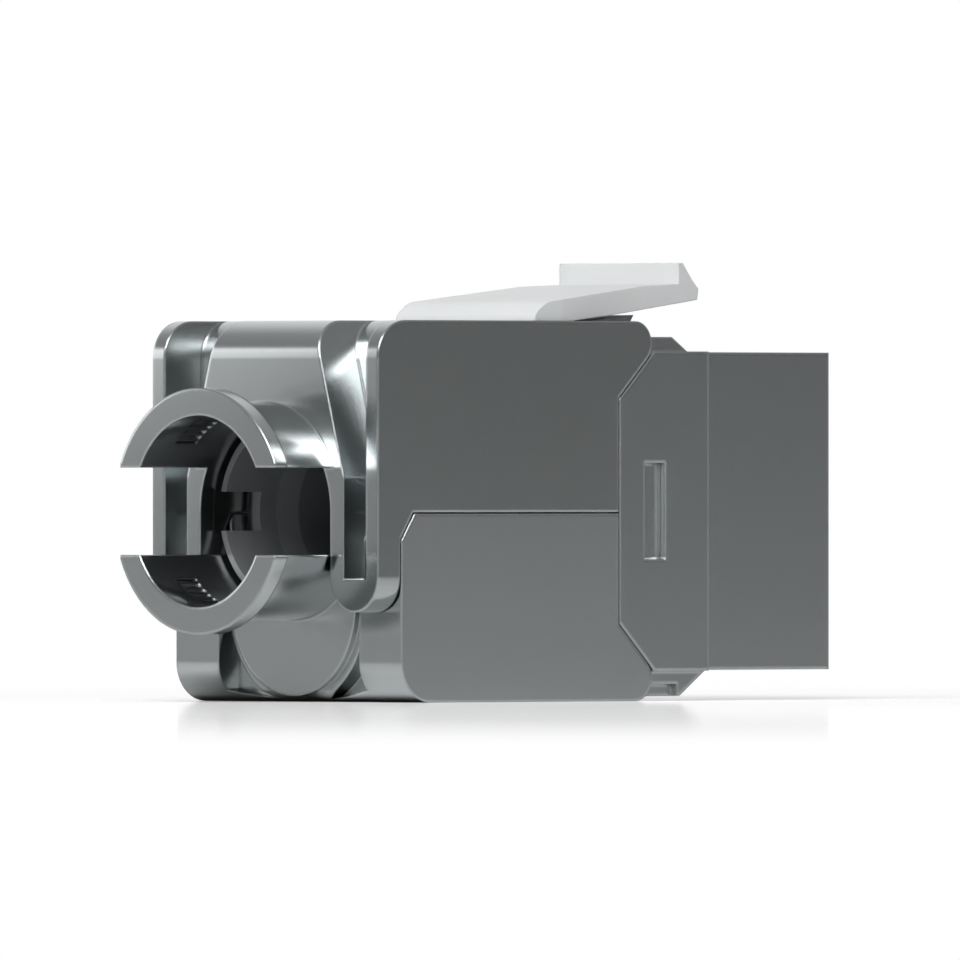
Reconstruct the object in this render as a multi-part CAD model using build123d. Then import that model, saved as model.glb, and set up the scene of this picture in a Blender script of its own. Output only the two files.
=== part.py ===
from build123d import *
import math
import os

os.makedirs("parts", exist_ok=True)

# A shielded network jack with two jaws that swing open behind it. X runs from the cable entry to
# the nose, Z is up. Millimetres. Heights are measured from the cable axis, which runs along X
# through the middle of the body, and every piece is lifted to stand on Z = 0 when it is written.

# Lengths along X, from the cable end to the plug end
collar_reach = 4.7
jaw_length = 16.9
shoulder_length = 6.4
nose_length = 9.74

# Overall widths and heights
body_width = 16.9
body_height = 19.5
nose_width = 14.5
nose_step = 1.57
shoulder_step = 0.03

# Walls, gaps and clearances
wall = 0.9
parting_gap = 0.08
side_clearance = 0.1
running_clearance = 0.05
assembly_clearance = 0.05
guide_clearance = 0.2

# Jaw outline, seen from the side
parting_height = -0.08
diagonal_start = 5.8
pivot_depth = 1.15
pivot_forward = 1.2
upper_rear_round = 1.9
lower_rear_round = 2.0
leg_setback = 1.65
leg_chamfer_width = 0.92
leg_chamfer_height = 1.37

# Rear of the upper jaw: fingers beside the cable, saddle and side pockets
finger_inner = 4.9
finger_round_drop = 5.15
saddle_base_half = 5.87
saddle_top_half = 3.6
saddle_slope_start = 1.75
pocket_depth = 2.6
pocket_wall = 1.0
pocket_floor_round = 1.9
slot_bottom = -3.5
slot_extra_depth = 0.2

# Rear of the lower jaw: round tongue, with a step behind it, in a recess between two legs
tongue_half = 4.67
tongue_bottom = 0.3
tongue_setback = 1.95
tongue_step = 0.35
tongue_step_margin = 0.5
recess_half = 5.3
recess_depth = 1.6
recess_bottom = 0.1
recess_corner_rise = 0.5
leg_thickness = 1.9

# Cable collar, one half on each jaw
bore_radius = 4.9
bore_inside = 1.0
relief_radius = 5.1
collar_radius = 5.57
flange_radius = 6.3
flange_thickness = 0.9
flange_flat = 5.8
collar_gap = 4.46
collar_neck_gap = 0.35
tooth_tip_radius = 4.84
tooth_root_radius = 5.12
tooth_groove_overlap = 0.5
tooth_pitch_angle = 5.3
tooth_count = 17
tooth_setback = 1.7
tooth_length = 1.4

# Hinges
hinge_pin_radius = 0.5
hinge_bore_depth = 0.6
hinge_ear_radius = 1.05
hinge_ear_inner = 5.6
hinge_pin_inset = 0.7

# Shoulder details
side_slot_start = 1.85
side_slot_length = 1.47
side_slot_height = 4.95
side_slot_depth = 0.45
lug_start = 2.55
upper_lug_drop = 0.8
upper_lug_flat = 1.75
upper_lug_slope = 1.1
upper_lug_inset = 0.55
lower_lug_drop = 0.25
lower_lug_flat = 2.0
lower_lug_slope = 1.8
lower_lug_inset = 0.25
lug_notch_height = 0.62
lug_notch_length = 1.85
lug_notch_depth = 0.35

# Inside of the housing
nose_side_wall = 0.95
nose_end_wall = 1.05
nose_front_wall = 1.04

# Plug socket, with the contacts above and the notches for the plug's tab below
plug_half_width = 5.95
plug_top = 3.6
plug_bottom = -3.3
plug_depth = 12.5
tab_half_width = 3.1
tab_drop = 1.6
tab_slot_half_width = 1.8
tab_slot_drop = 1.1

# Contact wires
contact_count = 8
contact_pitch = 1.02
contact_size = 0.36
contact_slot = 0.56
contact_top = 5.4
contact_tip = 1.55
contact_bend = 0.6
contact_front_setback = 2.6
contact_lean = 7.4
comb_top = 5.9

# Circuit board, contact blocks and blades
board_thickness = 1.6
board_setback = 0.6
block_length = 6.2
block_inner = 1.6
block_head_gap = 0.3
blade_count = 4
blade_pitch = 3.1
blade_row = 4.5
blade_width = 2.2
blade_thickness = 0.4
blade_reach = 2.3
blade_slot = 0.4
blade_slot_depth = 1.9
blade_tail_width = 0.9
blade_tail_length = 2.4

# Wire guide
guide_side_gap = 0.65
guide_hub_radius = 4.7
guide_hub_rear = 1.2
guide_body_rear = 3.8
guide_mid_radius = 4.0
guide_mid_place = 4.5
guide_bore = 3.6
guide_bore_place = 5.7
guide_wall = 0.35
guide_corner_round = 1.0
guide_window_half = 1.0
guide_window_depth = 2.25
wire_channel = 1.1
wire_channel_depth = 2.0

# Snap latch: setbacks are from the jaws' front edge or from the tab, rises from the body's top
panel_gap = 1.68
latch_setback = 2.85
latch_rear_half = 5.2
latch_front_half = 4.26
latch_straight = 2.0
latch_axis_inset = 1.35
latch_axis_drop = 0.55
latch_barrel_radius = 0.75
latch_barrel_half = 4.6
latch_root_run = 0.35
latch_root_bulge = 0.62
latch_root_length = 1.3
latch_root_rise = 1.05
latch_foot_length = 2.55
latch_ridge_setback = 2.58
latch_ridge_rise = 1.85
latch_tab_foot = 1.95
latch_tab_rise = 3.05
latch_tab_crest = 0.3
latch_nose_run = 1.0
latch_nose_rise = 2.2
latch_nose_length = 1.52
latch_lip_rise = 1.7
latch_lip_foot = 1.15
latch_lip_slant = 0.1
latch_bend_setback = 4.58
latch_bend_rise = 0.4

# Latch deck and leaf spring, placed from the jaws' front edge
deck_half = 5.2
deck_gap = 0.2
deck_setback = 2.8
deck_front_setback = 0.4
deck_drop = 0.25
beam_drop = 1.2
beam_thickness = 1.35
leaf_half = 4.4
leaf_thickness = 0.25
leaf_setback = 0.15
leaf_reach = 4.85
leaf_foot_reach = 1.7
leaf_lean = 0.1
leaf_tip_rise = 0.24
leaf_bend = 0.3
leaf_lip_drop = 0.4
leaf_lip_run = 0.27
jaw_notch_gap = 0.3

# Shield springs beside the plug
spring_thickness = 0.18
spring_half_height = 1.5
spring_bulge = 0.42
spring_rear_setback = 10.9
spring_front_setback = 1.6

# Places that follow from the sizes above
overall_length = collar_reach + jaw_length + shoulder_length + nose_length
rear_x = collar_reach - overall_length / 2
collar_end_x = rear_x - collar_reach
jaw_front_x = rear_x + jaw_length
shoulder_front_x = jaw_front_x + shoulder_length
nose_front_x = shoulder_front_x + nose_length
half_width = body_width / 2
half_height = body_height / 2
inner_half_width = half_width - wall
inner_half_height = half_height - wall
core_half_width = nose_width / 2
core_half_height = half_height - nose_step
shoulder_half_height = core_half_height + shoulder_step
pivot_x = jaw_front_x + pivot_forward
pivot_height = half_height - pivot_depth
cavity_half_width = core_half_width - nose_side_wall
cavity_half_height = core_half_height - nose_end_wall
cavity_front_x = nose_front_x - nose_front_wall
board_rear_x = jaw_front_x + board_setback
board_front_x = board_rear_x + board_thickness
block_rear_x = board_rear_x - block_length
guide_front_x = block_rear_x - assembly_clearance
insert_rear_x = board_front_x + assembly_clearance
insert_front_x = cavity_front_x - assembly_clearance
plug_end_x = nose_front_x - plug_depth
deck_rear_x = jaw_front_x - deck_setback
deck_top = half_height - deck_drop
beam_top = half_height - beam_drop
block_half_width = cavity_half_width - 2 * assembly_clearance
block_outer = beam_top - beam_thickness - block_head_gap
latch_rear_x = jaw_front_x - latch_setback
latch_axis_x = latch_rear_x + latch_axis_inset
latch_axis_height = half_height - latch_axis_drop
latch_tab_x = shoulder_front_x + panel_gap
latch_front_x = latch_tab_x + latch_nose_length
beyond = 30.0


def block(x_low, x_high, y_low, y_high, z_low, z_high):
    """A block between two corners."""
    centre = ((x_low + x_high) / 2, (y_low + y_high) / 2, (z_low + z_high) / 2)
    return Pos(*centre) * Box(x_high - x_low, y_high - y_low, z_high - z_low)


def outline(*points):
    """A flat face from its corners."""
    return make_face(Polyline(*points, close=True))


def rounded(face, radius, *places):
    """Round the corners of a face that lie nearest to the given places."""
    corners = [min(face.vertices(), key=lambda v: math.hypot(v.X - x, v.Y - y)) for x, y in places]
    return fillet(corners, radius)


def across(face, y_low, y_high):
    """Extrude an outline drawn in X and Z from one Y to another."""
    return Pos(0, y_high, 0) * extrude(Plane.XZ * face, amount=y_high - y_low)


def along(face, x_low, x_high):
    """Extrude an outline drawn in Y and Z from one X to another."""
    return Pos(x_low, 0, 0) * extrude(Plane.YZ * face, amount=x_high - x_low)


def upward(face, z_low, z_high):
    """Extrude an outline drawn in X and Y from one height to another."""
    return Pos(0, 0, z_low) * extrude(Plane.XY * face, amount=z_high - z_low)


def cross_rod(radius, x, z, y_low, y_high):
    """A round rod along Y."""
    return across(Pos(x, z) * Circle(radius), y_low, y_high)


def turned(face):
    """Turn an outline, drawn in X and radius, about the cable axis."""
    return revolve(Plane.XZ * face, axis=Axis.X, revolution_arc=360)


def both_sides(solid):
    """A solid and its mirror image on the other side."""
    return solid + mirror(solid, about=Plane.XZ)


# The front edge of both jaws and the shoulder's edge beside it
def diagonal_direction():
    """Direction of the slanted front edge, which just touches the round corner about the pivot."""
    run = pivot_x - jaw_front_x
    rise = pivot_height - diagonal_start
    turn = math.asin(pivot_depth / math.hypot(run, rise))
    angle = math.atan2(rise, run) - turn
    return math.cos(angle), math.sin(angle)


def diagonal_point(height, offset):
    """X of the slanted edge at a height, moved forward square to itself by an offset."""
    along_x, along_z = diagonal_direction()
    start_x = jaw_front_x + offset * along_z
    start_z = diagonal_start - offset * along_x
    return start_x + (height - start_z) * along_x / along_z


def diagonal_foot(offset):
    """Height where the moved slanted edge starts, above the moved upright edge."""
    along_x, along_z = diagonal_direction()
    start_x = jaw_front_x + offset * along_z
    start_z = diagonal_start - offset * along_x
    return start_z + (jaw_front_x + offset - start_x) * along_z / along_x


# Collar
def collar_ring(root_x):
    """The whole ring of the collar, with a flange at its end."""
    flange_front = collar_end_x + flange_thickness
    points = [
        (collar_end_x, bore_radius),
        (collar_end_x, flange_radius),
        (flange_front, flange_radius),
        (flange_front, collar_radius),
        (root_x, collar_radius),
        (root_x, bore_radius),
    ]
    sides = block(-beyond, beyond, -flange_flat, flange_flat, -beyond, beyond)
    return turned(outline(*points)) & sides


def tooth_groove(middle_angle):
    """The groove inside one half of the collar, with a row of teeth left standing in it."""
    half_span = tooth_count * tooth_pitch_angle / 2
    inner_radius = tooth_tip_radius - tooth_groove_overlap
    points = []
    for index in range(tooth_count + 1):
        angle = math.radians(middle_angle - half_span + index * tooth_pitch_angle)
        points.append((tooth_root_radius * math.cos(angle), tooth_root_radius * math.sin(angle)))
        if index < tooth_count:
            tip = angle + math.radians(tooth_pitch_angle / 2)
            points.append((tooth_tip_radius * math.cos(tip), tooth_tip_radius * math.sin(tip)))
    for step in range(5):
        angle = math.radians(middle_angle + half_span * (1 - step / 2))
        points.append((inner_radius * math.cos(angle), inner_radius * math.sin(angle)))
    start = collar_end_x + tooth_setback
    return along(outline(*points), start, start + tooth_length)


# Upper jaw
def upper_jaw_side():
    """Side outline of the upper jaw, without its fingers."""
    bottom = parting_height + parting_gap / 2
    step_top = parting_height - leg_chamfer_height
    step_x = rear_x + leg_setback - side_clearance
    corner_x = diagonal_point(half_height, 0)
    side = outline(
        (rear_x, step_top),
        (step_x, step_top),
        (step_x + leg_chamfer_width, bottom),
        (jaw_front_x, bottom),
        (jaw_front_x, diagonal_start),
        (corner_x, half_height),
        (rear_x, half_height),
    )
    side = rounded(side, pivot_depth, (corner_x, half_height))
    return rounded(side, upper_rear_round, (rear_x, half_height))


def upper_fingers():
    """Two fingers with round ends, which reach down beside the cable."""
    finger_width = half_width - finger_inner
    radius = finger_width / 2
    middle = finger_inner + radius
    round_height = -finger_round_drop + radius
    top = saddle_slope_start
    finger = outline(
        (finger_inner, round_height),
        (half_width, round_height),
        (half_width, top),
        (finger_inner, top),
    )
    finger += Pos(middle, round_height) * Circle(radius)
    return both_sides(along(finger, rear_x, rear_x + leg_setback - side_clearance))


def upper_pockets():
    """The space cut in beside the saddle, open to the rear and the top."""
    floor_x = rear_x + pocket_depth
    behind = outline(
        (rear_x - beyond, saddle_slope_start),
        (floor_x, saddle_slope_start),
        (floor_x, half_height),
        (floor_x + pocket_floor_round, half_height),
        (floor_x + pocket_floor_round, half_height + 1),
        (rear_x - beyond, half_height + 1),
    )
    floor_round = outline(
        (floor_x, half_height - pocket_floor_round),
        (floor_x + pocket_floor_round, half_height),
        (floor_x, half_height),
    )
    floor_round -= Pos(floor_x + pocket_floor_round, half_height - pocket_floor_round) * Circle(
        pocket_floor_round
    )
    over = half_height + 1
    slope = (saddle_base_half - saddle_top_half) / (half_height - saddle_slope_start)
    beside = outline(
        (saddle_base_half, saddle_slope_start),
        (inner_half_width, saddle_slope_start),
        (inner_half_width, over),
        (saddle_top_half - slope, over),
    )
    valley = across(behind + floor_round, 0, half_width) & along(beside, -beyond, beyond)
    slot_floor = floor_x + slot_extra_depth
    slot = block(
        rear_x - 1, slot_floor, saddle_base_half, inner_half_width, slot_bottom, saddle_slope_start
    )
    return both_sides(valley + slot)


def latch_notch():
    """The notch in the top wall, round the latch and its deck."""
    half = deck_half + deck_gap
    return block(deck_rear_x - jaw_notch_gap, pivot_x + beyond, -half, half, 0, half_height + 1)


def front_notch(low, high):
    """The room for the hinge ears between the two side walls."""
    return block(
        jaw_front_x - parting_gap, pivot_x + beyond, -inner_half_width, inner_half_width, low, high
    )


def pin_bores(height):
    """Blind holes for the hinge pins, from the inside of both side walls."""
    return both_sides(
        cross_rod(
            hinge_pin_radius + running_clearance,
            pivot_x,
            height,
            inner_half_width - wall,
            inner_half_width + hinge_bore_depth,
        )
    )


def upper_jaw():
    """The upper half of the rear shell, in one casting with the upper half of the collar."""
    body = across(upper_jaw_side(), -half_width, half_width)
    room_x = rear_x + pocket_depth + pocket_wall
    body -= block(
        room_x, beyond, -inner_half_width, inner_half_width, -half_height, inner_half_height
    )
    body += upper_fingers()
    body -= along(Circle(bore_radius), rear_x - 1, room_x)
    body -= along(Circle(relief_radius), rear_x + bore_inside, room_x + 1)
    body -= block(rear_x - 1, room_x + 1, -finger_inner, finger_inner, -half_height, 0)
    body -= upper_pockets()
    body -= latch_notch()
    body -= front_notch(-half_height, half_height + 1)
    body -= pin_bores(pivot_height)
    split = collar_gap / 2
    ring = collar_ring(rear_x + wall)
    ring &= block(-beyond, beyond, -beyond, beyond, split, beyond)
    return body + ring - tooth_groove(90)


# Lower jaw
def lower_jaw_side():
    """Side outline of the lower jaw."""
    top = parting_height - parting_gap / 2
    leg_x = rear_x + leg_setback
    corner_x = diagonal_point(half_height, 0)
    side = outline(
        (leg_x, -half_height),
        (leg_x, top - leg_chamfer_height),
        (leg_x + leg_chamfer_width, top),
        (jaw_front_x, top),
        (jaw_front_x, -diagonal_start),
        (corner_x, -half_height),
    )
    side = rounded(side, pivot_depth, (corner_x, -half_height))
    return rounded(side, lower_rear_round, (leg_x, -half_height))


def tongue_outline(margin):
    """A tall tongue with a round end below."""
    half = tongue_half + margin
    centre = tongue_bottom - half_height + tongue_half
    face = outline((-half, centre), (half, centre), (half, half_height), (-half, half_height))
    return face + Pos(0, centre) * Circle(half)


def recess_outline():
    """The recess between the legs: upright sides and a slightly bowed bottom."""
    low = recess_bottom - half_height
    corner = low + recess_corner_rise
    bottom = ThreePointArc((recess_half, corner), (0, low), (-recess_half, corner))
    sides = Polyline(
        (-recess_half, corner), (-recess_half, half_height), (recess_half, half_height), (recess_half, corner)
    )
    return make_face([bottom, sides])


def lower_jaw():
    """The lower half of the rear shell, in one casting with the lower half of the collar."""
    shell = across(lower_jaw_side(), -half_width, half_width)
    leg_x = rear_x + leg_setback
    room_x = leg_x + leg_thickness
    tongue_x = rear_x + tongue_setback
    top = parting_height - parting_gap / 2
    body = shell - block(
        room_x, beyond, -inner_half_width, inner_half_width, -inner_half_height, half_height
    )
    body -= along(recess_outline(), leg_x - 1, leg_x + recess_depth)
    body += along(tongue_outline(tongue_step_margin), tongue_x + tongue_step, room_x) & shell
    body += along(tongue_outline(0), tongue_x, room_x) & block(
        -beyond, beyond, -beyond, beyond, -half_height, top
    )
    body -= front_notch(-half_height - 1, half_height)
    body -= pin_bores(-pivot_height)
    split = collar_gap / 2
    neck = block(
        rear_x - collar_neck_gap, beyond, -tongue_half, tongue_half, -beyond, beyond
    )
    outside = block(-beyond, rear_x - collar_neck_gap, -beyond, beyond, -beyond, beyond)
    ring = collar_ring(tongue_x + wall)
    ring &= neck + outside
    ring &= block(-beyond, beyond, -beyond, beyond, -beyond, -split)
    body += ring
    body -= along(Circle(bore_radius), leg_x, room_x)
    body -= along(Circle(relief_radius), rear_x + bore_inside, room_x + 1)
    return body - tooth_groove(-90)


# Front housing
def shoulder_plates():
    """Side plates flush with the jaws, whose rear edge follows the jaws' front edge."""
    rear = jaw_front_x + parting_gap
    foot = diagonal_foot(parting_gap)
    top = shoulder_half_height
    top_x = diagonal_point(top, parting_gap)
    plate = outline(
        (rear, -foot),
        (rear, foot),
        (top_x, top),
        (shoulder_front_x, top),
        (shoulder_front_x, -top),
        (top_x, -top),
    )
    slot_x = jaw_front_x + side_slot_start
    slot_half = side_slot_height / 2
    side = across(plate, cavity_half_width + nose_side_wall / 2, half_width)
    side -= block(
        slot_x,
        slot_x + side_slot_length,
        half_width - side_slot_depth,
        half_width + 1,
        -slot_half,
        slot_half,
    )
    return both_sides(side)


def lugs():
    """The lug above the shoulder and the ramp below it."""
    start = jaw_front_x + lug_start
    root = core_half_height - nose_end_wall
    upper_end = start + upper_lug_flat
    upper_top = half_height - upper_lug_drop
    upper_half = half_width - upper_lug_inset
    upper = outline(
        (start, root),
        (start, upper_top),
        (upper_end, upper_top),
        (upper_end + upper_lug_slope, shoulder_half_height),
        (upper_end + upper_lug_slope, root),
    )
    lower_end = start + lower_lug_flat
    lower_foot = lower_lug_drop - half_height
    lower_half = half_width - lower_lug_inset
    lower = outline(
        (start, -root),
        (start, lower_foot),
        (lower_end, lower_foot),
        (lower_end + lower_lug_slope, -shoulder_half_height),
        (lower_end + lower_lug_slope, -root),
    )
    ramp = across(lower, -lower_half, lower_half)
    ramp -= both_sides(
        block(
            start - 1,
            start + lug_notch_length,
            lower_half - lug_notch_depth,
            half_width,
            lower_foot - 1,
            lower_foot + lug_notch_height,
        )
    )
    return across(upper, -upper_half, upper_half) + ramp


def hinge_ears(sign):
    """Two ears that carry the pins of one jaw."""
    outer = inner_half_width - side_clearance
    height = sign * pivot_height
    ear = cross_rod(hinge_ear_radius, pivot_x, height, hinge_ear_inner, outer)
    foot_low = min(sign * (core_half_height - nose_end_wall / 2), height)
    foot_high = max(sign * (core_half_height - nose_end_wall / 2), height)
    ear += block(
        pivot_x - hinge_ear_radius,
        pivot_x + hinge_ear_radius,
        hinge_ear_inner,
        outer,
        foot_low,
        foot_high,
    )
    return both_sides(ear)


def ear_bores(sign):
    """The holes in which the pins of one jaw are pressed."""
    inner = hinge_ear_inner + hinge_pin_inset
    return both_sides(
        cross_rod(hinge_pin_radius, pivot_x, sign * pivot_height, inner, inner_half_width)
    )


def latch_deck():
    """The beam behind the shoulder, with the cradle in which the latch turns."""
    beam = block(
        deck_rear_x,
        jaw_front_x + lug_start + upper_lug_flat,
        -deck_half,
        deck_half,
        beam_top - beam_thickness,
        beam_top,
    )
    deck = block(
        deck_rear_x,
        jaw_front_x - deck_front_setback,
        -deck_half,
        deck_half,
        beam_top - wall,
        deck_top,
    )
    cradle = cross_rod(
        latch_barrel_radius + running_clearance,
        latch_axis_x,
        latch_axis_height,
        -latch_barrel_half - side_clearance,
        latch_barrel_half + side_clearance,
    )
    return beam + deck - cradle


def socket_outline(margin):
    """The outline of the plug socket, with its two stepped notches below."""
    step = plug_bottom - tab_drop
    foot = step - tab_slot_drop
    half = plug_half_width + margin
    return outline(
        (-half, plug_bottom - margin),
        (-tab_half_width - margin, plug_bottom - margin),
        (-tab_half_width - margin, step - margin),
        (-tab_slot_half_width - margin, step - margin),
        (-tab_slot_half_width - margin, foot - margin),
        (tab_slot_half_width + margin, foot - margin),
        (tab_slot_half_width + margin, step - margin),
        (tab_half_width + margin, step - margin),
        (tab_half_width + margin, plug_bottom - margin),
        (half, plug_bottom - margin),
        (half, plug_top + margin),
        (-half, plug_top + margin),
    )


def front_housing():
    """Nose, shoulder, hinge ears and latch deck, in one casting."""
    body = block(
        jaw_front_x + parting_gap,
        nose_front_x,
        -core_half_width,
        core_half_width,
        -core_half_height,
        core_half_height,
    )
    body += shoulder_plates()
    body += lugs()
    body += hinge_ears(1)
    body += hinge_ears(-1)
    body += latch_deck()
    body -= ear_bores(1)
    body -= ear_bores(-1)
    body -= block(
        jaw_front_x - 1,
        cavity_front_x,
        -cavity_half_width,
        cavity_half_width,
        -cavity_half_height,
        cavity_half_height,
    )
    return body - along(socket_outline(0), cavity_front_x - 1, nose_front_x + 1)


def hinge_pin(side, level):
    """A stub pin, pressed in an ear and turning in a jaw."""
    inner = hinge_ear_inner + hinge_pin_inset
    outer = inner_half_width + hinge_bore_depth - running_clearance
    pin = cross_rod(hinge_pin_radius, pivot_x, level * pivot_height, inner, outer)
    return pin if side > 0 else mirror(pin, about=Plane.XZ)


# Socket insert and contacts
def contact_places():
    """Y of each contact wire."""
    return [(index - (contact_count - 1) / 2) * contact_pitch for index in range(contact_count)]


def contact_wire(y):
    """A contact wire: forward from the board, round a bend, and back down into the socket."""
    front_x = cavity_front_x - contact_front_setback
    path = FilletPolyline(
        (insert_rear_x, y, contact_top),
        (front_x, y, contact_top),
        (front_x - contact_lean, y, contact_tip + contact_size / 2),
        radius=contact_bend,
    )
    section = Plane(path @ 0, z_dir=path % 0) * Rectangle(contact_size, contact_size)
    return sweep(section, path=path)


def socket_insert():
    """The moulded insert: plug socket, slots for the shield springs and the contact comb."""
    body = block(
        insert_rear_x,
        insert_front_x,
        -cavity_half_width + assembly_clearance,
        cavity_half_width - assembly_clearance,
        -cavity_half_height + assembly_clearance,
        cavity_half_height - assembly_clearance,
    )
    body -= along(socket_outline(0), plug_end_x, nose_front_x)
    front_x = cavity_front_x - contact_front_setback + contact_size
    slot_half = contact_slot / 2
    contact_floor = contact_top - contact_slot / 2
    for y in contact_places():
        body -= block(plug_end_x, front_x, y - slot_half, y + slot_half, 0, comb_top)
        body -= block(insert_rear_x - 1, front_x, y - slot_half, y + slot_half, contact_floor, comb_top)
    window_rear = nose_front_x - spring_rear_setback - assembly_clearance
    window_half = spring_half_height + assembly_clearance
    return body - both_sides(
        block(window_rear, nose_front_x, plug_half_width - 1, half_width, -window_half, window_half)
    )


def shield_spring(side):
    """A leaf spring in the socket's side wall, bowed towards the plug."""
    rear = nose_front_x - spring_rear_setback
    front = nose_front_x - spring_front_setback
    middle = (rear + front) / 2
    outer = cavity_half_width - assembly_clearance
    bowed = outer - spring_bulge
    outside = ThreePointArc((rear, outer), (middle, bowed), (front, outer))
    inside = ThreePointArc(
        (front, outer - spring_thickness),
        (middle, bowed - spring_thickness),
        (rear, outer - spring_thickness),
    )
    ends = [Line(outside @ 1, inside @ 0), Line(inside @ 1, outside @ 0)]
    leaf = upward(make_face([outside, inside] + ends), -spring_half_height, spring_half_height)
    return leaf if side > 0 else mirror(leaf, about=Plane.XZ)


# Board, contact blocks and blades
def circuit_board():
    """The upright board between the contact wires and the blades."""
    half_y = cavity_half_width - assembly_clearance
    half_z = cavity_half_height - assembly_clearance
    return block(board_rear_x, board_front_x, -half_y, half_y, -half_z, half_z)


def blade_places():
    """Y of each blade in a row."""
    return [(index - (blade_count - 1) / 2) * blade_pitch for index in range(blade_count)]


def blade_outline(y, margin):
    """A blade from above: a fork to the rear and a narrow tail to the board."""
    half = blade_width / 2 + margin
    tail = blade_tail_width / 2 + margin
    tail_x = board_rear_x - blade_tail_length
    rear = block_rear_x - blade_reach
    return outline(
        (rear, y - half),
        (tail_x, y - half),
        (tail_x, y - tail),
        (board_rear_x, y - tail),
        (board_rear_x, y + tail),
        (tail_x, y + tail),
        (tail_x, y + half),
        (rear, y + half),
    )


def idc_blade(y, level):
    """A slotted blade whose fork cuts through a wire's insulation."""
    rear = block_rear_x - blade_reach
    slot_end = rear + blade_slot_depth
    mouth = blade_slot * 1.6
    fork = outline(
        (rear, y - mouth),
        (rear + mouth, y - blade_slot / 2),
        (slot_end, y - blade_slot / 2),
        (slot_end, y + blade_slot / 2),
        (rear + mouth, y + blade_slot / 2),
        (rear, y + mouth),
    )
    height = level * blade_row
    face = blade_outline(y, 0) - fork
    return upward(face, height - blade_thickness / 2, height + blade_thickness / 2)


def idc_block(level):
    """A moulded block that holds four blades behind the board."""
    low = min(level * block_inner, level * block_outer)
    high = max(level * block_inner, level * block_outer)
    body = block(block_rear_x, board_rear_x, -block_half_width, block_half_width, low, high)
    height = level * blade_row
    thick = blade_thickness / 2
    for y in blade_places():
        body -= upward(blade_outline(y, 0), height - thick, height + thick)
        notch_low = min(height, level * block_outer + level)
        notch_high = max(height, level * block_outer + level)
        body -= block(
            block_rear_x - 1,
            block_rear_x + wire_channel,
            y - wire_channel / 2,
            y + wire_channel / 2,
            notch_low,
            notch_high,
        )
    return body


# Wire guide
def guide_funnel():
    """The passage for the cable, narrowing in two cones."""
    hub_x = rear_x + guide_hub_rear
    mid_x = rear_x + guide_mid_place
    bore_x = rear_x + guide_bore_place
    return turned(
        outline(
            (hub_x - 1, 0),
            (hub_x - 1, guide_hub_radius - guide_wall),
            (hub_x, guide_hub_radius - guide_wall),
            (mid_x, guide_mid_radius),
            (bore_x, guide_bore),
            (guide_front_x + 1, guide_bore),
            (guide_front_x + 1, 0),
        )
    )


def wire_guide():
    """The moulded guide that holds the eight wires over the blades."""
    guide_half = inner_half_width - guide_side_gap
    section = RectangleRounded(2 * guide_half, 2 * block_outer, guide_corner_round)
    body = along(section, rear_x + guide_body_rear, guide_front_x)
    body += along(Circle(guide_hub_radius), rear_x + guide_hub_rear, rear_x + guide_body_rear + wall)
    body -= guide_funnel()
    window_x = rear_x + guide_hub_rear + guide_window_depth
    body -= both_sides(
        block(rear_x, window_x, 0, guide_hub_radius + 1, -guide_window_half, guide_window_half)
    )
    blade_rear = block_rear_x - blade_reach - guide_clearance
    blade_half = blade_width / 2 + guide_clearance
    blade_thick = blade_thickness / 2 + guide_clearance
    channel = wire_channel / 2
    for level in (1, -1):
        height = level * blade_row
        low = min(level * guide_bore * 0.8, level * (block_outer + 1))
        high = max(level * guide_bore * 0.8, level * (block_outer + 1))
        for y in blade_places():
            body -= block(
                blade_rear,
                guide_front_x + 1,
                y - blade_half,
                y + blade_half,
                height - blade_thick,
                height + blade_thick,
            )
            body -= block(
                guide_front_x - wire_channel_depth, guide_front_x + 1, y - channel, y + channel, low, high
            )
    return body


# Latch
def latch_profile():
    """Side outline of the latch, from its root to the tab that catches the panel."""
    def place(x, rise):
        return (x, half_height + rise)

    root_x = latch_rear_x + latch_root_length
    ridge_x = latch_tab_x - latch_ridge_setback
    root = Spline(
        place(latch_rear_x, 0),
        place(latch_rear_x + latch_root_run, latch_root_bulge),
        place(root_x, latch_root_rise),
        tangents=[(0, 1), (ridge_x - root_x, latch_ridge_rise - latch_root_rise)],
    )
    rest = Polyline(
        root @ 1,
        place(ridge_x, latch_ridge_rise),
        place(latch_tab_x, latch_tab_foot),
        place(latch_tab_x, latch_tab_rise),
        place(latch_tab_x + latch_tab_crest, latch_tab_rise),
        place(latch_tab_x + latch_nose_run, latch_nose_rise),
        place(latch_front_x, latch_lip_rise),
        place(latch_front_x - latch_lip_slant, latch_lip_foot),
        place(latch_tab_x - latch_bend_setback, latch_bend_rise),
        place(latch_rear_x + latch_foot_length, 0),
        place(latch_rear_x, 0),
    )
    return make_face([root, rest])


def latch():
    """The moulded latch, with a barrel under its root that turns in the deck."""
    body = across(latch_profile(), -latch_rear_half, latch_rear_half)
    plan = outline(
        (latch_rear_x - 1, -latch_rear_half),
        (latch_rear_x + latch_straight, -latch_rear_half),
        (latch_front_x + 1, -latch_front_half),
        (latch_front_x + 1, latch_front_half),
        (latch_rear_x + latch_straight, latch_rear_half),
        (latch_rear_x - 1, latch_rear_half),
    )
    body &= upward(plan, 0, 2 * half_height)
    return body + cross_rod(
        latch_barrel_radius, latch_axis_x, latch_axis_height, -latch_barrel_half, latch_barrel_half
    )


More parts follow.
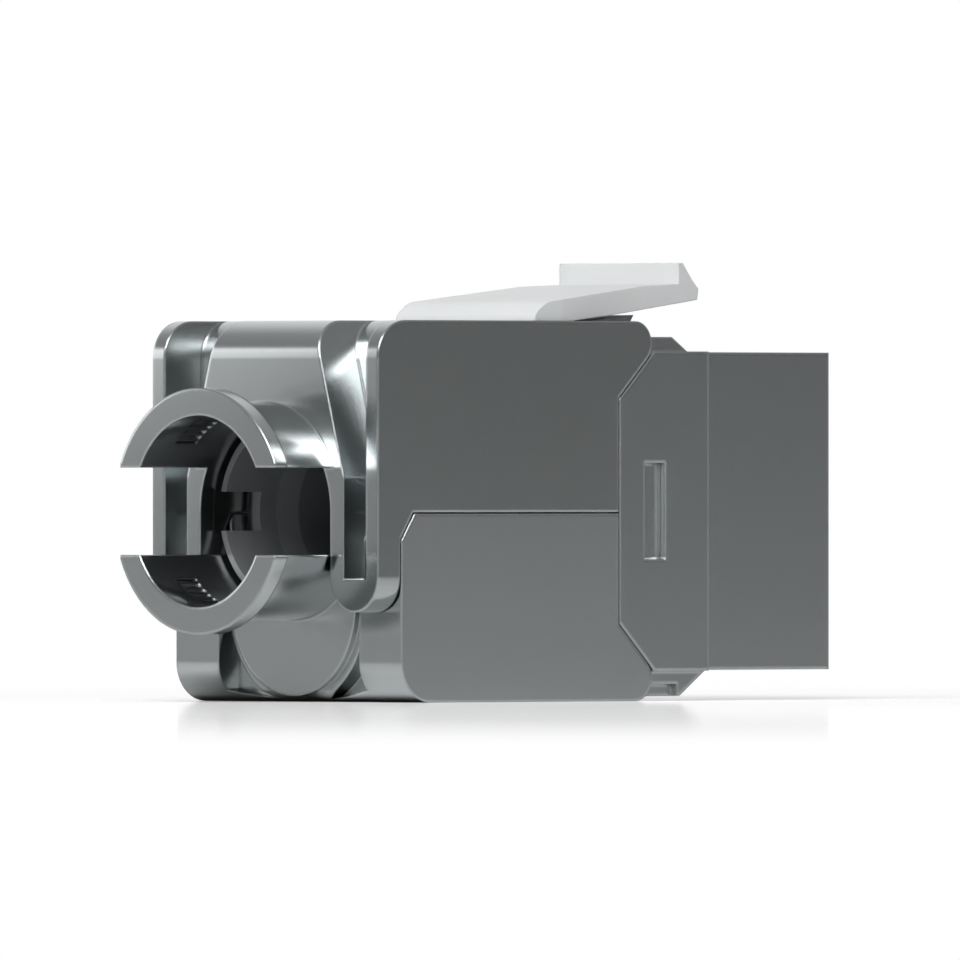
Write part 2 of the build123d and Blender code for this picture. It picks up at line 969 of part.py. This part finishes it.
def latch_spring():
    """A leaf folded back on itself: its foot lies on the beam, its long leg holds the latch up."""
    rear = jaw_front_x - leaf_setback
    foot = beam_top + leaf_thickness / 2
    tip_x = jaw_front_x + leaf_reach
    tip = half_height + leaf_tip_rise
    path = FilletPolyline(
        (jaw_front_x + leaf_foot_reach, 0, foot),
        (rear, 0, foot),
        (rear + leaf_lean, 0, half_height - leaf_thickness),
        (tip_x + leaf_lip_run, 0, tip),
        radius=leaf_bend,
    )
    section = Plane(path @ 0, z_dir=path % 0, x_dir=(0, 1, 0)) * Rectangle(
        2 * leaf_half, leaf_thickness
    )
    lip = outline(
        (tip_x, tip),
        (tip_x - leaf_lip_run, tip - leaf_lip_drop),
        (tip_x - leaf_lip_run - leaf_thickness, tip - leaf_lip_drop),
        (tip_x - leaf_thickness, tip - leaf_thickness / 4),
    )
    ahead = outline(
        (tip_x - leaf_lip_run, tip - leaf_lip_drop),
        (tip_x + leaf_lip_run, tip + leaf_lip_drop),
        (tip_x + 1, tip + leaf_lip_drop),
        (tip_x + 1, tip - leaf_lip_drop),
    )
    leaf = sweep(section, path=path) + across(lip, -leaf_half, leaf_half)
    return leaf - across(ahead, -beyond, beyond)


def write(solid, name):
    """Lift a piece to stand on Z = 0 and write it."""
    export_step(Pos(0, 0, half_height) * solid, f"parts/{name}.step")


write(front_housing(), "front_housing")
write(upper_jaw(), "upper_jaw")
write(lower_jaw(), "lower_jaw")
write(latch(), "latch")
write(latch_spring(), "latch_spring")
write(socket_insert(), "socket_insert")
write(circuit_board(), "circuit_board")
write(wire_guide(), "wire_guide")
for level_name, level in (("upper", 1), ("lower", -1)):
    write(idc_block(level), f"idc_block_{level_name}")
    for side_name, side in (("left", 1), ("right", -1)):
        write(hinge_pin(side, level), f"hinge_pin_{level_name}_{side_name}")
for side_name, side in (("left", 1), ("right", -1)):
    write(shield_spring(side), f"shield_spring_{side_name}")
for number, y in enumerate(contact_places(), start=1):
    write(contact_wire(y), f"contact_wire_{number}")
for number, y in enumerate(blade_places(), start=1):
    write(idc_blade(y, 1), f"idc_blade_{number}")
    write(idc_blade(y, -1), f"idc_blade_{number + blade_count}")
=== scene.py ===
import math

import bpy
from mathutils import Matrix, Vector


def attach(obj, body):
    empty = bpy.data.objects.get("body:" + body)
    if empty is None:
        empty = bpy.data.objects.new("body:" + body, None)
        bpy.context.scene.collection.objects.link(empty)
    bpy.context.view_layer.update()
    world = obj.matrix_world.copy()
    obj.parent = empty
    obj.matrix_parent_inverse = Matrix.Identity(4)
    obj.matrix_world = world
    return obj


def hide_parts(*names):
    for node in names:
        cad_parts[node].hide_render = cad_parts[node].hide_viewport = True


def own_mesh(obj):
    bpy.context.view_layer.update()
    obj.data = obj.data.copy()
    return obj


# The looks of the network jack. Metres and degrees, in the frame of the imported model.

# Camera: level with the object and from a good way off
VIEW_YAW = 43.3
CAMERA_DISTANCE = 1.5
PICTURE_WIDTH = 0.04938
SENSOR_WIDTH = 36.0
CAMERA_REACH = 20
LOOK_SIDEWAYS = 0.00068
LOOK_HEIGHT = 0.01135

# Satin nickel of the castings, and how far the upright faces of the jaws lean by their draft
PLATING_TONE = 0.45
PLATING_SPREAD = 0.003
PLATING_ROUGHNESS = (0.208, 0.214)
JAW_DRAFT = 0.012

# Edge rounding that catches the light
HOUSING_EDGE = 0.00025
JAW_EDGE = 0.0002
PLASTIC_EDGE = 0.0001
FINE_EDGE = 0.00003
EDGE_SAMPLES = 6

# Painted shade: how far and how strongly the colour of the castings darkens in narrow gaps, by ambient
# occlusion
CREASE_SHADE_REACH = 0.00045
CREASE_SHADE_RANGE = (0.12, 0.6)
CREASE_SHADE_COLOUR = (0.01, 0.01, 0.01)
CREASE_SHADE_SAMPLES = 8

# Floor: size, tone, share and kind of gloss, glow, and the distances over which it fades to white
FLOOR_SIZE = 8.0
FLOOR_TONE = 0.8
FLOOR_SHEEN = 0.46
FLOOR_IOR = 1.3
FLOOR_ROUGHNESS = 0.06
FLOOR_LIFT = 0.12
FLOOR_FADE = (0.03, 0.2)
FLOOR_MIDDLE = (-0.05, -0.05, 0.0)

# The backdrop, seen by the camera and by metal that faces it, and the grey room round it
BACKDROP_AZIMUTH = 46.5
BACKDROP_EDGE = (0.45, 0.75)
ROOM_TONES = ((0.0, 0.135), (0.12, 0.165), (0.35, 0.3), (0.65, 0.45), (1.0, 0.55))
AMBIENT = 0.22

# Lamps: name, azimuth, height, level distance, size and power, all turned to one point
LAMP_TARGET = (0, 0, 0.01)
LAMPS = (
    ("key", 213, 0.54, 0.6, (0.5, 0.4), 7.1),
    ("camera_side", 226.7, 0.06, 1.6, (0.6, 0.3), 0.8),
    ("camera_above", 219, 0.62, 1.05, (0.4, 0.45), 2.0),
    ("cable_side", 115, 0.05, 0.179, (0.14, 0.06), 0.05),
)


def node(tree, kind, **inputs):
    """A shader node, with its unlinked inputs set by name."""
    made = tree.nodes.new(kind)
    for name, value in inputs.items():
        made.inputs[name.replace("_", " ")].default_value = value
    return made


def new_material(name):
    """An empty material and its Principled shader."""
    material = bpy.data.materials.new(name)
    material.use_nodes = True
    tree = material.node_tree
    tree.nodes.clear()
    shader = tree.nodes.new("ShaderNodeBsdfPrincipled")
    output = tree.nodes.new("ShaderNodeOutputMaterial")
    tree.links.new(shader.outputs["BSDF"], output.inputs["Surface"])
    return material, tree, shader


def noise(tree, scale, detail=3.0, stretch=(1, 1, 1)):
    """Noise in object space: scale is in cells for each metre."""
    place = tree.nodes.new("ShaderNodeTexCoord")
    mapping = tree.nodes.new("ShaderNodeMapping")
    mapping.inputs["Scale"].default_value = stretch
    texture = node(tree, "ShaderNodeTexNoise", Scale=scale, Detail=detail)
    tree.links.new(place.outputs["Object"], mapping.inputs["Vector"])
    tree.links.new(mapping.outputs["Vector"], texture.inputs["Vector"])
    return texture.outputs["Fac"]


def ranged(tree, value, low, high):
    """A value from 0.3 to 0.7 spread between two limits."""
    spread = tree.nodes.new("ShaderNodeMapRange")
    spread.inputs["From Min"].default_value = 0.3
    spread.inputs["From Max"].default_value = 0.7
    spread.inputs["To Min"].default_value = low
    spread.inputs["To Max"].default_value = high
    tree.links.new(value, spread.inputs["Value"])
    return spread.outputs["Result"]


def shaded(tree, value, dark, light):
    """A colour between two, by a value from 0.3 to 0.7."""
    mix = tree.nodes.new("ShaderNodeMix")
    mix.data_type = "RGBA"
    mix.inputs["A"].default_value = (*dark, 1)
    mix.inputs["B"].default_value = (*light, 1)
    tree.links.new(ranged(tree, value, 0, 1), mix.inputs["Factor"])
    return mix.outputs["Result"]


def bumped(tree, shader, value, strength, distance, edge, draft=0.0):
    """Give the shader a fine relief over softly rounded edges, on faces that lean up by a draft."""
    rounding = tree.nodes.new("ShaderNodeBevel")
    rounding.samples = EDGE_SAMPLES
    rounding.inputs["Radius"].default_value = edge
    bump = node(tree, "ShaderNodeBump", Strength=strength, Distance=distance)
    tree.links.new(value, bump.inputs["Height"])
    lean = tree.nodes.new("ShaderNodeVectorMath")
    lean.inputs[1].default_value = (0, 0, draft)
    level = tree.nodes.new("ShaderNodeVectorMath")
    level.operation = "NORMALIZE"
    tree.links.new(rounding.outputs["Normal"], lean.inputs[0])
    tree.links.new(lean.outputs["Vector"], level.inputs[0])
    tree.links.new(level.outputs["Vector"], bump.inputs["Normal"])
    tree.links.new(bump.outputs["Normal"], shader.inputs["Normal"])


def math_node(tree, operation, first, second):
    """Arithmetic on two values, each a number or an output."""
    made = tree.nodes.new("ShaderNodeMath")
    made.operation = operation
    for socket, value in zip(made.inputs, (first, second)):
        if isinstance(value, (int, float)):
            socket.default_value = value
        else:
            tree.links.new(value, socket)
    return made.outputs["Value"]


def painted_crease_shade(tree, colour):
    """A colour with painted shade, which darkens by ambient occlusion in narrow gaps and sharp
    hollows.
    """
    hollow = node(tree, "ShaderNodeAmbientOcclusion", Distance=CREASE_SHADE_REACH)
    hollow.samples = CREASE_SHADE_SAMPLES
    open_air = tree.nodes.new("ShaderNodeMapRange")
    open_air.inputs["From Min"].default_value = CREASE_SHADE_RANGE[0]
    open_air.inputs["From Max"].default_value = CREASE_SHADE_RANGE[1]
    mix = tree.nodes.new("ShaderNodeMix")
    mix.data_type = "RGBA"
    mix.inputs["A"].default_value = (*CREASE_SHADE_COLOUR, 1)
    tree.links.new(hollow.outputs["AO"], open_air.inputs["Value"])
    tree.links.new(open_air.outputs["Result"], mix.inputs["Factor"])
    tree.links.new(colour, mix.inputs["B"])
    return mix.outputs["Result"]


def plated_casting(name, edge, draft):
    """Satin nickel plating on a die-cast surface, with painted shade in its narrow gaps, whose upright
    faces lean by a draft.
    """
    material, tree, shader = new_material(name)
    shader.inputs["Metallic"].default_value = 1.0
    cloud = noise(tree, 160, 3)
    dark = [channel * PLATING_TONE * (1 - PLATING_SPREAD) for channel in (0.94, 0.99, 1.0)]
    light = [channel * PLATING_TONE * (1 + PLATING_SPREAD) for channel in (0.95, 0.995, 1.0)]
    # the base colour carries painted shade, darkened by ambient occlusion in gaps and hollows
    tree.links.new(painted_crease_shade(tree, shaded(tree, cloud, dark, light)), shader.inputs["Base Color"])
    satin = noise(tree, 900, 4)
    tree.links.new(ranged(tree, satin, *PLATING_ROUGHNESS), shader.inputs["Roughness"])
    bumped(tree, shader, noise(tree, 9000, 4), 0.02, 0.00001, edge, draft)
    return material


def moulded_plastic(name, dark, light, roughness, edge=FINE_EDGE, grain=0.06):
    """Moulded plastic with a fine spark-eroded grain."""
    material, tree, shader = new_material(name)
    cloud = noise(tree, 220, 3)
    tree.links.new(shaded(tree, cloud, dark, light), shader.inputs["Base Color"])
    grain_noise = noise(tree, 7000, 4)
    gloss = ranged(tree, grain_noise, roughness - 0.05, roughness + 0.05)
    tree.links.new(gloss, shader.inputs["Roughness"])
    bumped(tree, shader, grain_noise, grain, 0.00002, edge)
    return material


def plain_metal(name, dark, light, roughness, stretch=(1, 12, 12)):
    """Rolled or drawn metal, with its fine lines along the part."""
    material, tree, shader = new_material(name)
    shader.inputs["Metallic"].default_value = 1.0
    lines = noise(tree, 1500, 4, stretch)
    tree.links.new(shaded(tree, lines, dark, light), shader.inputs["Base Color"])
    tree.links.new(ranged(tree, lines, roughness - 0.06, roughness + 0.06), shader.inputs["Roughness"])
    bumped(tree, shader, lines, 0.05, 0.00001, FINE_EDGE)
    return material


def set_material(piece, material):
    """Use one material all over a piece."""
    piece.data.materials.clear()
    piece.data.materials.append(material)


def dress(nodes):
    """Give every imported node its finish."""
    housing = plated_casting("nickel_housing", HOUSING_EDGE, 0.0)
    upper_jaw = plated_casting("nickel_upper_jaw", JAW_EDGE, JAW_DRAFT)
    lower_jaw = plated_casting("nickel_lower_jaw", JAW_EDGE, -JAW_DRAFT)
    white = moulded_plastic(
        "white_latch_plastic", (0.55, 0.56, 0.565), (0.58, 0.59, 0.595), 0.42, PLASTIC_EDGE
    )
    black = moulded_plastic("black_plastic", (0.035, 0.036, 0.038), (0.05, 0.052, 0.054), 0.4)
    guide = moulded_plastic("guide_plastic", (0.13, 0.135, 0.14), (0.15, 0.155, 0.16), 0.35)
    grey = moulded_plastic("grey_plastic", (0.10, 0.105, 0.11), (0.13, 0.135, 0.14), 0.5)
    board = moulded_plastic("solder_mask", (0.012, 0.09, 0.03), (0.02, 0.12, 0.04), 0.3, grain=0.02)
    gold = plain_metal("gold_plating", (0.75, 0.52, 0.2), (0.85, 0.62, 0.28), 0.25)
    tin = plain_metal("tin_plating", (0.6, 0.6, 0.58), (0.7, 0.7, 0.68), 0.35)
    steel = plain_metal("dark_spring_steel", (0.18, 0.19, 0.2), (0.26, 0.27, 0.28), 0.35)
    pins = plain_metal("pin_steel", (0.5, 0.5, 0.51), (0.6, 0.6, 0.61), 0.25)
    # each piece takes the first finish whose name starts its own
    finishes = {
        "front_housing": housing,
        "upper_jaw": upper_jaw,
        "lower_jaw": lower_jaw,
        "latch_spring": steel,
        "shield_spring": steel,
        "latch": white,
        "socket_insert": black,
        "wire_guide": guide,
        "idc_block": grey,
        "circuit_board": board,
        "contact_wire": gold,
        "idc_blade": tin,
        "hinge_pin": pins,
    }
    for name, piece in nodes.items():
        for start, material in finishes.items():
            if name.startswith(start):
                set_material(piece, material)
                break


def spring_leaf(nodes):
    """The steel leaf under the latch, as a mesh of its own attached to the housing."""
    packed = nodes["latch_spring"]
    leaf = bpy.data.objects.new("spring_leaf", packed.data.copy())
    leaf.matrix_world = packed.matrix_world
    bpy.context.scene.collection.objects.link(leaf)
    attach(leaf, "housing")
    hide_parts("latch_spring")
    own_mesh(leaf)


def backdrop_seen(tree):
    """One where the white backdrop shows: to the camera, and in metal that faces it."""
    azimuth = math.radians(BACKDROP_AZIMUTH)
    place = tree.nodes.new("ShaderNodeTexCoord")
    facing = tree.nodes.new("ShaderNodeVectorMath")
    facing.operation = "DOT_PRODUCT"
    facing.inputs[1].default_value = (math.cos(azimuth), math.sin(azimuth), 0)
    ahead = tree.nodes.new("ShaderNodeMapRange")
    ahead.inputs["From Min"].default_value = BACKDROP_EDGE[0]
    ahead.inputs["From Max"].default_value = BACKDROP_EDGE[1]
    path = tree.nodes.new("ShaderNodeLightPath")
    rays = path.outputs
    mirrored = math_node(tree, "MAXIMUM", rays["Is Glossy Ray"], rays["Is Transmission Ray"])
    shown = math_node(tree, "MULTIPLY", mirrored, ahead.outputs["Result"])
    flat = tree.nodes.new("ShaderNodeVectorMath")
    flat.operation = "NORMALIZE"
    tree.links.new(place.outputs["Object"], flat.inputs[0])
    tree.links.new(flat.outputs["Vector"], facing.inputs[0])
    tree.links.new(facing.outputs["Value"], ahead.inputs["Value"])
    return math_node(tree, "MAXIMUM", rays["Is Camera Ray"], shown)


def make_floor():
    """A pale floor with a soft sheen, which fades into the white backdrop away from the object."""
    material = bpy.data.materials.new("pale_floor")
    material.use_nodes = True
    tree = material.node_tree
    tree.nodes.clear()
    matt = node(tree, "ShaderNodeBsdfDiffuse", Color=(FLOOR_TONE, FLOOR_TONE, FLOOR_TONE, 1))
    gloss = node(tree, "ShaderNodeBsdfGlossy", Color=(1, 1, 1, 1), Roughness=FLOOR_ROUGHNESS)
    surface = tree.nodes.new("ShaderNodeMixShader")
    edge_on = node(tree, "ShaderNodeFresnel", IOR=FLOOR_IOR)
    glow = node(tree, "ShaderNodeEmission", Color=(1, 1, 1, 1))
    lifted = tree.nodes.new("ShaderNodeAddShader")
    white = node(tree, "ShaderNodeEmission", Color=(1, 1, 1, 1), Strength=1.0)
    shown = backdrop_seen(tree)
    place = tree.nodes.new("ShaderNodeTexCoord")
    distance = tree.nodes.new("ShaderNodeVectorMath")
    distance.operation = "DISTANCE"
    distance.inputs[1].default_value = FLOOR_MIDDLE
    fade = tree.nodes.new("ShaderNodeMapRange")
    fade.interpolation_type = "SMOOTHSTEP"
    fade.inputs["From Min"].default_value = FLOOR_FADE[0]
    fade.inputs["From Max"].default_value = FLOOR_FADE[1]
    blend = tree.nodes.new("ShaderNodeMixShader")
    output = tree.nodes.new("ShaderNodeOutputMaterial")
    tree.links.new(place.outputs["Object"], distance.inputs[0])
    tree.links.new(distance.outputs["Value"], fade.inputs["Value"])
    far = math_node(tree, "MULTIPLY", fade.outputs["Result"], shown)
    tree.links.new(far, blend.inputs["Fac"])
    sheen = math_node(tree, "MULTIPLY", edge_on.outputs["Fac"], FLOOR_SHEEN)
    tree.links.new(sheen, surface.inputs["Fac"])
    tree.links.new(math_node(tree, "MULTIPLY", shown, FLOOR_LIFT), glow.inputs["Strength"])
    tree.links.new(matt.outputs["BSDF"], surface.inputs[1])
    tree.links.new(gloss.outputs["BSDF"], surface.inputs[2])
    tree.links.new(surface.outputs["Shader"], lifted.inputs[0])
    tree.links.new(glow.outputs["Emission"], lifted.inputs[1])
    tree.links.new(lifted.outputs["Shader"], blend.inputs[1])
    tree.links.new(white.outputs["Emission"], blend.inputs[2])
    tree.links.new(blend.outputs["Shader"], output.inputs["Surface"])
    half = FLOOR_SIZE / 2
    mesh = bpy.data.meshes.new("floor")
    mesh.from_pydata(
        [(-half, -half, 0), (half, -half, 0), (half, half, 0), (-half, half, 0)], [], [(0, 1, 2, 3)]
    )
    floor = bpy.data.objects.new("floor", mesh)
    bpy.context.scene.collection.objects.link(floor)
    mesh.materials.append(material)


def make_world():
    """A room that is grey for plain light and darker in reflections, with the white backdrop."""
    world = bpy.data.worlds.new("studio")
    bpy.context.scene.world = world
    world.use_nodes = True
    tree = world.node_tree
    tree.nodes.clear()
    place = tree.nodes.new("ShaderNodeTexCoord")
    split = tree.nodes.new("ShaderNodeSeparateXYZ")
    ramp = tree.nodes.new("ShaderNodeValToRGB")
    elements = ramp.color_ramp.elements
    while len(elements) < len(ROOM_TONES):
        elements.new(0.5)
    for element, (position, level) in zip(elements, ROOM_TONES):
        element.position = position
        element.color = (level, level, level, 1)
    path = tree.nodes.new("ShaderNodeLightPath")
    plain = node(tree, "ShaderNodeBackground", Color=(AMBIENT, AMBIENT, AMBIENT, 1), Strength=1.0)
    room = node(tree, "ShaderNodeBackground", Strength=1.0)
    white = node(tree, "ShaderNodeBackground", Color=(1, 1, 1, 1), Strength=1.0)
    lit = tree.nodes.new("ShaderNodeMixShader")
    mix = tree.nodes.new("ShaderNodeMixShader")
    output = tree.nodes.new("ShaderNodeOutputWorld")
    tree.links.new(place.outputs["Generated"], split.inputs["Vector"])
    tree.links.new(split.outputs["Z"], ramp.inputs["Fac"])
    tree.links.new(ramp.outputs["Color"], room.inputs["Color"])
    tree.links.new(path.outputs["Is Glossy Ray"], lit.inputs["Fac"])
    tree.links.new(plain.outputs["Background"], lit.inputs[1])
    tree.links.new(room.outputs["Background"], lit.inputs[2])
    tree.links.new(backdrop_seen(tree), mix.inputs["Fac"])
    tree.links.new(lit.outputs["Shader"], mix.inputs[1])
    tree.links.new(white.outputs["Background"], mix.inputs[2])
    tree.links.new(mix.outputs["Shader"], output.inputs["Surface"])


def area_light(name, place, target, size, power):
    """A soft box at one place, turned to another."""
    data = bpy.data.lights.new(name, "AREA")
    data.shape = "RECTANGLE"
    data.size, data.size_y = size
    data.energy = power
    lamp = bpy.data.objects.new(name, data)
    lamp.location = place
    lamp.rotation_mode = "QUATERNION"
    lamp.rotation_quaternion = (Vector(target) - Vector(place)).to_track_quat("-Z", "Y")
    bpy.context.scene.collection.objects.link(lamp)


def make_lights():
    """Plain studio light from every lamp of the list."""
    for name, azimuth, height, distance, size, power in LAMPS:
        turn = math.radians(azimuth)
        place = Vector((math.cos(turn) * distance, math.sin(turn) * distance, height))
        area_light(name, place, LAMP_TARGET, size, power)


def make_camera():
    """A long lens from the reference viewpoint."""
    yaw = math.radians(VIEW_YAW)
    back = Vector((-math.sin(yaw), -math.cos(yaw), 0))
    right = Vector((math.cos(yaw), -math.sin(yaw), 0))
    target = right * LOOK_SIDEWAYS + Vector((0, 0, LOOK_HEIGHT))
    data = bpy.data.cameras.new("camera")
    data.sensor_width = SENSOR_WIDTH
    data.lens = SENSOR_WIDTH * CAMERA_DISTANCE / PICTURE_WIDTH
    data.clip_end = CAMERA_REACH
    camera = bpy.data.objects.new("camera", data)
    camera.location = target + back * CAMERA_DISTANCE
    camera.rotation_mode = "QUATERNION"
    camera.rotation_quaternion = (-back).to_track_quat("-Z", "Y")
    bpy.context.scene.collection.objects.link(camera)
    bpy.context.scene.camera = camera


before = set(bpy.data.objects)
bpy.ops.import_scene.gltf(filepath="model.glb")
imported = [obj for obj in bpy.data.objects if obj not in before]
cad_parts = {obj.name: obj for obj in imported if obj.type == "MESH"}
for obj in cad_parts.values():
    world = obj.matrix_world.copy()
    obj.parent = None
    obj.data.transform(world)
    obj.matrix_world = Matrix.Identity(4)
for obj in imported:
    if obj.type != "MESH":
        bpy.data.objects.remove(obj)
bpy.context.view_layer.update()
dress(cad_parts)
spring_leaf(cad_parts)
make_floor()
make_world()
make_lights()
make_camera()
bpy.context.scene.view_settings.view_transform = "Standard"
